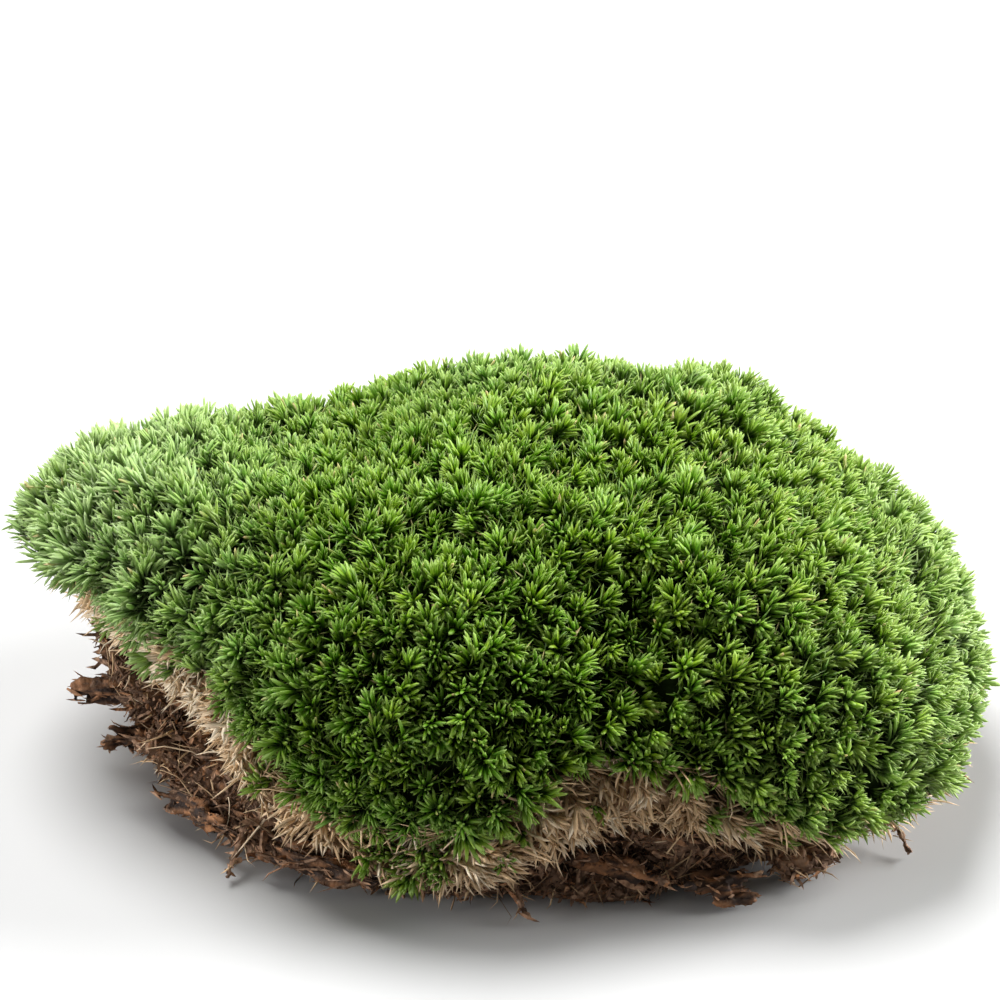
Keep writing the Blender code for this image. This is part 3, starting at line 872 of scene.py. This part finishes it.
class MOSS_OT_dead_leaves(bpy.types.Operator):
    """Makes the mat of dead leaves: its matted body, combed leaves and bleached rosettes"""

    bl_idname = "moss.dead_leaves"
    bl_label = "Dead leaves"

    def execute(self, context):
        colours = context.scene.moss_colours
        sizes = context.scene.moss_sizes
        rng = np.random.default_rng(8)
        bm = evened(merged_copy(DEAD), MAT_VOXEL, 3)
        moved_out(bm, lambda place, normal: 0.9 * MM * lumps(place, 4 * MM) - MAT_DEPTH)
        mat = solid_piece("dead_mat", bm, mat_material(colours))
        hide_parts(DEAD)

        cushion, pad = tree_of(CUSHION), tree_of(PAD)
        guide = evened(merged_copy(DEAD), MAT_VOXEL, 3)
        rosettes = guide.copy()

        def bare(place, normal):
            free = cushion.find_nearest(place)[3] > 0.7 * MM and pad.find_nearest(place)[3] > 0.9 * MM
            return free and lumps(place, 7 * MM, 2) > -0.28

        places, normals = scattered(guide, sizes.straw_spacing, rng, bare)
        guide.free()
        others = tree_of(DEAD, PAD)
        guide = evened(merged_copy(CUSHION), GUIDE_VOXEL, 10)

        def underneath(place, normal):
            return normal.z < -0.35 and others.find_nearest(place)[3] > 2.0 * MM

        under, under_normals = scattered(guide, sizes.straw_spacing * 1.35, rng, underneath)
        guide.free()
        under = under - under_normals * 1.2 * MM
        places = np.concatenate([places, under])
        normals = np.concatenate([normals, under_normals])
        ways = combed(places, normals, rng, 0.25, 0.15)
        count = len(places)
        lengths = sizes.straw_length * varied(rng, 0.28, 0.45, 1.7, count)
        widths = sizes.straw_width * rng.normal(1, 0.28, count).clip(0.4, 1.7)
        form = blade_form([(0, 0.7), (0.35, 1.0), (0.76, 0.7)])
        plain = blade_form([(0, 0.75), (0.6, 0.95)])
        starts = places - ways * (lengths * 0.45)[:, None] - normals * 0.6 * MM
        points = blades(form, starts, ways, normals, lengths, widths, rng.normal(0.1, 0.75, count))
        tint = rng.normal(0.5, 0.17, count) + 0.3 * lumps_at(places, 8 * MM) + 0.3 * bleach_and_light_at(places)
        tint = np.clip(tint, 0, 1)

        tufts, tuft_normals = scattered(rosettes, TUFT_SPACING, rng, bare)
        lie = unit(combed(tufts, tuft_normals, rng, 0.3, 0.25) + tuft_normals * 0.25)
        base = tufts - lie * 3.2 * MM - tuft_normals * 0.4 * MM
        scales = np.full(len(tufts), 1.3)
        shoots = Shoots(base, lie, sweeps_at(base, lie, rng) * 0.5, scales, rng.uniform(16, 40, len(tufts)))
        steps = range(TUFT_LEAVES)
        tuft_points, _ = shoot_leaves(plain, shoots, steps, TUFT_LEAVES, sizes, rng, 2 * MM)
        tuft_tint = rng.normal(0.5, 0.16, len(tufts)) + 0.3 * lumps_at(tufts, 5 * MM)
        tuft_tint = leaf_tints(tuft_tint + 0.3 * bleach_and_light_at(tufts), TUFT_LEAVES, rng)

        heads, head_normals = scattered(rosettes, ROSETTE_SPACING, rng, bare)
        rosettes.free()
        kept = rng.random(len(heads)) < 0.4 + 0.6 * bleach_and_light_at(heads)
        heads, head_normals = heads[kept], head_normals[kept]
        axes = strayed(head_normals * 0.55 + outwards(heads) * 0.55, 0.3, rng)
        base = heads - axes * 2.2 * MM
        scales = leaf_scale_at(heads) * 1.25
        shoots = Shoots(base, axes, sweeps_at(base, axes, rng), scales, rng.uniform(35, 66, len(heads)))
        steps = range(ROSETTE_LEAVES)
        head_points, _ = shoot_leaves(plain, shoots, steps, ROSETTE_LEAVES, sizes, rng, 3 * MM)
        head_tint = rng.normal(0.62, 0.16, len(heads)) + 0.3 * bleach_and_light_at(heads)
        parts = [
            (form, points, {"tint": tint}),
            (plain, tuft_points, {"tint": tuft_tint}),
            (plain, head_points, {"tint": leaf_tints(head_tint, ROSETTE_LEAVES, rng)}),
        ]
        fibres = joined("dead_leaves", parts, straw_material(colours), rounded=True)
        return {"FINISHED"}


# ---------------------------------------------------------------- humus, bark and roots

PAD_VOXEL = 0.9 * MM
CLOD_VOXEL = 0.6 * MM
THREAD_SPACING = 2.1  # of the crumbs' spacing
LATHS = 13  # the splits of a piece of bark
BARK_VOXEL = 0.5 * MM
LEAST_LATH = 0.9 * MM  # half the least side of a lath
CHIP_SPACING = 2.6 * MM
BARK_CRUMB_SPACING = 1.3 * MM
SPLINTER_SPACING = 1.35 * MM


def shreds(form, places, normals, lengths, widths, rng, lift):
    """Points of torn shreds that lie every way over a surface and stand out of it by about lift."""
    spin = unit(rng.normal(size=places.shape))
    flat = spin - normals * (spin * normals).sum(axis=1)[:, None]
    ways = unit(unit(flat) + normals * rng.normal(lift, 0.3, len(places))[:, None])
    up = strayed(normals, 0.5, rng)
    starts = places - ways * (lengths * 0.4)[:, None]
    return blades(form, starts, ways, up, lengths, widths, rng.normal(0, 1.0, len(places)))


class MOSS_OT_humus(bpy.types.Operator):
    """Makes the humus pad with its clods, crumbs, shreds of wood and root threads"""

    bl_idname = "moss.humus"
    bl_label = "Humus"

    def execute(self, context):
        colours = context.scene.moss_colours
        sizes = context.scene.moss_sizes
        rng = np.random.default_rng(13)
        bm = evened(merged_copy(PAD), PAD_VOXEL, 2)

        def crumble(place, normal):
            if normal.z < -0.8:
                return 0
            hollow = max(0.0, lumps(place, 6 * MM, 2) - 0.15)
            return -1.1 * MM + 1.3 * MM * lumps(place, 3.2 * MM, 4) - 2.9 * MM * hollow

        moved_out(bm, crumble)
        body = solid_piece("humus_body", bm, humus_material(colours))
        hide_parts(PAD)

        bm = evened(merged_copy(*CLODS), CLOD_VOXEL, 1)
        moved_out(bm, lambda place, normal: -0.7 * MM + 1.2 * MM * lumps(place, 2.2 * MM, 4))
        clods = solid_piece("humus_clods", bm, humus_material(colours))
        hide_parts(*CLODS)

        dead = tree_of(DEAD)
        guide = evened(merged_copy(PAD, *CLODS, *ROOTS), PAD_VOXEL, 1)

        def open_side(place, normal):
            return place.z > 0.8 * MM and normal.z > -0.9 and dead.find_nearest(place)[3] > 0.5 * MM

        places, normals = scattered(guide, sizes.crumb_spacing, rng, open_side)
        torn, torn_normals = scattered(guide, sizes.crumb_spacing * 1.05, rng, open_side)
        threads, thread_normals = scattered(guide, sizes.crumb_spacing * THREAD_SPACING, rng, open_side)
        guide.free()
        count = len(places)
        forms = [crumb_form(rng, 9, flat) for flat in (1, 0.8, 0.6, 0.35, 0.3)]
        pick = rng.integers(len(forms), size=count)
        widths = sizes.crumb_size * varied(rng, 0.42, 0.4, 2.6, count)
        ways = strayed(normals, 0.6, rng)
        where = places + normals * rng.normal(-0.35, 0.55, count)[:, None] * MM
        tint = rng.random(count) ** 1.6
        parts = []
        for k, form in enumerate(forms):
            mine = pick == k
            stretch = widths[mine, None] * [1.3, 0.85, 1]
            parts.append((form, turned(form, where[mine], ways[mine], stretch), {"tint": tint[mine]}))
        shred = blade_form([(0, 0.5), (0.3, 1.0), (0.75, 0.75)])
        count = len(torn)
        lengths = sizes.shred_length * varied(rng, 0.4, 0.4, 2.2, count)
        widths = lengths * rng.uniform(0.1, 0.26, count)
        sunk = torn - torn_normals * 0.3 * MM
        points = shreds(shred, sunk, torn_normals, lengths, widths, rng, 0.3)
        parts.append((shred, points, {"tint": rng.beta(1.3, 1.6, count)}))
        crumbs = joined("humus_crumbs", parts, crumb_material(colours), rounded=False)

        count = len(threads)
        ways = combed(threads, thread_normals, rng, 0.3, 0.8)
        lengths = sizes.thread_length * varied(rng, 0.45, 0.3, 1.8, count, middle=-0.2)
        form = blade_form([(0, 1.0), (0.3, 0.9), (0.7, 0.7)])
        starts = threads - ways * (lengths * 0.5)[:, None]
        widths = rng.uniform(0.2, 0.5, count) * MM
        points = blades(form, starts, ways, thread_normals, lengths, widths, rng.normal(0, 1.3, count))
        parts = [(form, points, {"tint": rng.beta(2, 3, count)})]
        fibres = joined("root_threads", parts, straw_material(colours), rounded=True)
        return {"FINISHED"}


def drop_loose(bm):
    """Deletes all but the biggest of the parts that don't hang together."""
    seen = set()
    parts = []
    for first in bm.verts:
        if first in seen:
            continue
        seen.add(first)
        part = [first]
        for vert in part:
            for edge in vert.link_edges:
                other = edge.other_vert(vert)
                if other not in seen:
                    seen.add(other)
                    part.append(other)
        parts.append(part)
    parts.sort(key=len)
    for part in parts[:-1]:
        bmesh.ops.delete(bm, geom=part, context="VERTS")


def split_wood(centre, axes, reach, rng):
    """A closed form like a piece of rotten wood, split along its grain into laths of uneven length."""
    bm = bmesh.new()
    for k in range(LATHS):
        half = reach * (rng.uniform((0.25, 0.13, 0.13), (0.75, 0.36, 0.34)) if k else (0.6, 0.4, 0.35))
        half = np.minimum(np.maximum(half, LEAST_LATH), reach)
        offset = (reach - half) * (rng.uniform(-1, 1, 3) if k else 0)
        narrowing = rng.uniform(0.08, 0.75, 2)
        for vert in bmesh.ops.create_cube(bm, size=2)["verts"]:
            end = narrowing[int(vert.co.x > 0)]
            place = offset + half * (vert.co.x, vert.co.y * end, vert.co.z * end)
            vert.co = centre + place @ axes
    return evened(bm, BARK_VOXEL, 1)


class MOSS_OT_bark(bpy.types.Operator):
    """Makes the pieces of rotten bark: split laths with torn chips and splinters on them"""

    bl_idname = "moss.bark"
    bl_label = "Bark"

    def execute(self, context):
        rng = np.random.default_rng(21)
        core = bark_material(context.scene.moss_colours)
        torn = crumb_material(context.scene.moss_colours)
        form = blade_form([(0, 0.4), (0.25, 1.0), (0.7, 0.8)])
        parts = []

        def anywhere(place, normal):
            return True

        def in_patches(place, normal):
            return lumps(place, 5 * MM, 2) > 0

        for name in BARK:
            solid = merged_copy(name)
            corners = np.array([vert.co for vert in solid.verts])
            solid.free()
            centre = (corners.min(axis=0) + corners.max(axis=0)) / 2
            axes = np.linalg.svd(corners - corners.mean(axis=0), full_matrices=False)[2]
            reach = np.abs((corners - centre) @ axes.T).max(axis=0)
            bm = split_wood(centre, axes, reach, rng)
            drop_loose(bm)
            heights, fibres = [], []
            for vert in bm.verts:
                along, across, up = axes @ (np.array(vert.co) - centre)
                grained = Vector((along * 0.22, across, up)) + Vector(centre) * 7
                heights.append(lumps(grained, 1.5 * MM, 4))
                fibres.append(lumps(grained, 0.8 * MM, 3))
            for vert, height in zip(bm.verts, heights):
                vert.co += vert.normal * (1.15 * height - 0.1) * MM
            guide = bm.copy()
            obj = solid_piece("detailed_" + name, bm, core)
            # raised parts warm and light, sunk grooves near black: partly the bark's own colour, partly
            # painted light and shade
            add_layer(obj.data, "ridge", 0.5 + 0.5 * np.array(heights))
            add_layer(obj.data, "fibre", 0.5 + 0.5 * np.array(fibres))
            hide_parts(name)

            places, normals = scattered(guide, CHIP_SPACING, rng, anywhere)
            count = len(places)
            along = strayed(np.tile(axes[0], (count, 1)), 0.2, rng)
            chip = crumb_form(rng, 11, 0.6)
            least = (0.2 * reach[0], 0.7 * MM, 0.4 * MM)
            most = (0.6 * reach[0], 2.2 * MM, 1.1 * MM)
            size = rng.uniform(least, most, (count, 3))
            points = turned(chip, places, strayed(normals, 0.3, rng), size, along)
            parts.append((chip, points, {"tint": rng.beta(1.5, 1.5, count)}))

            places, normals = scattered(guide, BARK_CRUMB_SPACING, rng, in_patches)
            count = len(places)
            crumb = crumb_form(rng, 9, 0.8)
            size = rng.uniform(0.4, 1.3, (count, 1)) * [1.2, 0.9, 1] * MM
            points = turned(crumb, places, strayed(normals, 0.6, rng), size)
            parts.append((crumb, points, {"tint": rng.random(count) ** 1.6 * 0.7}))

            places, normals = scattered(guide, SPLINTER_SPACING, rng, anywhere)
            guide.free()
            count = len(places)
            side = np.sign((places - centre) @ axes[0])
            ways = strayed(axes[0] * side[:, None] + normals * 0.15, 0.22, rng)
            lengths = reach[0] * rng.uniform(0.15, 0.5, count)
            starts = places - ways * (lengths * 0.5)[:, None]
            widths = rng.uniform(0.2, 0.65, count) * MM
            points = blades(form, starts, ways, normals, lengths, widths, rng.normal(0, 0.5, count))
            parts.append((form, points, {"tint": rng.beta(1.6, 1.2, count)}))
        splinters = joined("bark_splinters", parts, torn, rounded=False)
        return {"FINISHED"}


class MOSS_OT_rootlets(bpy.types.Operator):
    """Makes the rootlets, knotty and dark"""

    bl_idname = "moss.rootlets"
    bl_label = "Rootlets"

    def execute(self, context):
        bm = evened(merged_copy(*ROOTS), 0.3 * MM, 1)
        moved_out(bm, lambda place, normal: -0.15 * MM + 0.5 * MM * lumps(place, 1.3 * MM))
        obj = solid_piece("knotty_rootlets", bm, crumb_material(context.scene.moss_colours))
        add_layer(obj.data, "tint", np.full(len(obj.data.vertices), 0.4))
        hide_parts(*ROOTS)
        return {"FINISHED"}


# ---------------------------------------------------------------- floor, lights and camera

VIEW_HEIGHT = 30  # degrees above the horizon
LENS = 100  # millimetres, as the sensor's width
SENSOR = 36
VIEW_DISTANCE = 479 * MM
AIM = Vector((0, -4, 28)) * MM  # the clump's middle as the camera sees it
AIM_RISE = 16.5 * MM  # the camera looks this much higher, so that the clump stands low in the picture
FLOOR_SIZE = 6.0
WORLD_STRENGTH = 0.17
SUNS = (  # name, where it shines from, strength, angle in degrees
    ("back_left_light", (-0.25, 0.43, 0.87), 6.3, 35),
    ("right_light", (0.89, 0.24, 0.34), 8.6, 35),
    ("left_light", (-0.97, -0.15, 0.17), 2.45, 20),
)


def add_sun(name, origin, strength, angle):
    """A broad, even light that shines from an origin towards the clump."""
    data = bpy.data.lights.new(name, "SUN")
    data.energy = strength
    data.angle = math.radians(angle)
    obj = bpy.data.objects.new(name, data)
    obj.location = origin
    obj.rotation_euler = (-Vector(origin)).to_track_quat("-Z", "Y").to_euler()
    bpy.context.scene.collection.objects.link(obj)


class MOSS_OT_stage(bpy.types.Operator):
    """Sets the pale floor, an even white surrounding, three broad lights and the camera"""

    bl_idname = "moss.stage"
    bl_label = "Stage"

    def execute(self, context):
        scene = context.scene
        bm = bmesh.new()
        bmesh.ops.create_grid(bm, x_segments=2, y_segments=2, size=FLOOR_SIZE / 2)
        mesh = bpy.data.meshes.new("floor")
        bm.to_mesh(mesh)
        bm.free()
        material, _, shader = surface("floor", 0.6, 0.2)
        shader.inputs["Base Color"].default_value = (*scene.moss_colours.floor, 1)
        mesh.materials.append(material)
        floor = bpy.data.objects.new("floor", mesh)
        scene.collection.objects.link(floor)

        world = bpy.data.worlds.new("studio")
        world.use_nodes = True
        background = world.node_tree.nodes["Background"]
        background.inputs["Color"].default_value = (1, 1, 1, 1)
        background.inputs["Strength"].default_value = WORLD_STRENGTH
        scene.world = world
        for sun in SUNS:
            add_sun(*sun)
        scene.view_settings.view_transform = "Standard"

        data = bpy.data.cameras.new("camera")
        data.lens = LENS
        data.sensor_width = SENSOR
        camera = bpy.data.objects.new("camera", data)
        height = math.radians(VIEW_HEIGHT)
        back = Vector((0, -math.cos(height), math.sin(height)))
        above = Vector((0, math.sin(height), math.cos(height)))
        camera.location = AIM + back * VIEW_DISTANCE
        look = AIM + above * AIM_RISE - camera.location
        camera.rotation_euler = look.to_track_quat("-Z", "Y").to_euler()
        scene.collection.objects.link(camera)
        scene.camera = camera
        return {"FINISHED"}


# ---------------------------------------------------------------- panel and registration


class MOSS_PT_clump(bpy.types.Panel):
    """Lists the clump's pieces and their values"""

    bl_label = "Moss Clump"
    bl_idname = "MOSS_PT_clump"
    bl_space_type = "VIEW_3D"
    bl_region_type = "UI"
    bl_category = "Moss"

    def draw(self, context):
        layout = self.layout
        for group in (context.scene.moss_sizes, context.scene.moss_colours):
            box = layout.box()
            for key in group.bl_rna.properties.keys():
                if key not in ("rna_type", "name"):
                    box.prop(group, key)
        for operator in OPERATORS:
            layout.operator(operator.bl_idname)


OPERATORS = (
    MOSS_OT_core,
    MOSS_OT_shoots,
    MOSS_OT_dead_leaves,
    MOSS_OT_humus,
    MOSS_OT_bark,
    MOSS_OT_rootlets,
    MOSS_OT_stage,
)
CLASSES = (MossSizes, MossColours, *OPERATORS, MOSS_PT_clump)


def register():
    for cls in CLASSES:
        bpy.utils.register_class(cls)
    bpy.types.Scene.moss_sizes = PointerProperty(type=MossSizes)
    bpy.types.Scene.moss_colours = PointerProperty(type=MossColours)


def unregister():
    del bpy.types.Scene.moss_colours
    del bpy.types.Scene.moss_sizes
    for cls in reversed(CLASSES):
        bpy.utils.unregister_class(cls)


def main():
    register()
    for operator in OPERATORS:
        group, name = operator.bl_idname.split(".")
        getattr(getattr(bpy.ops, group), name)()


if __name__ == "__main__":
    main()
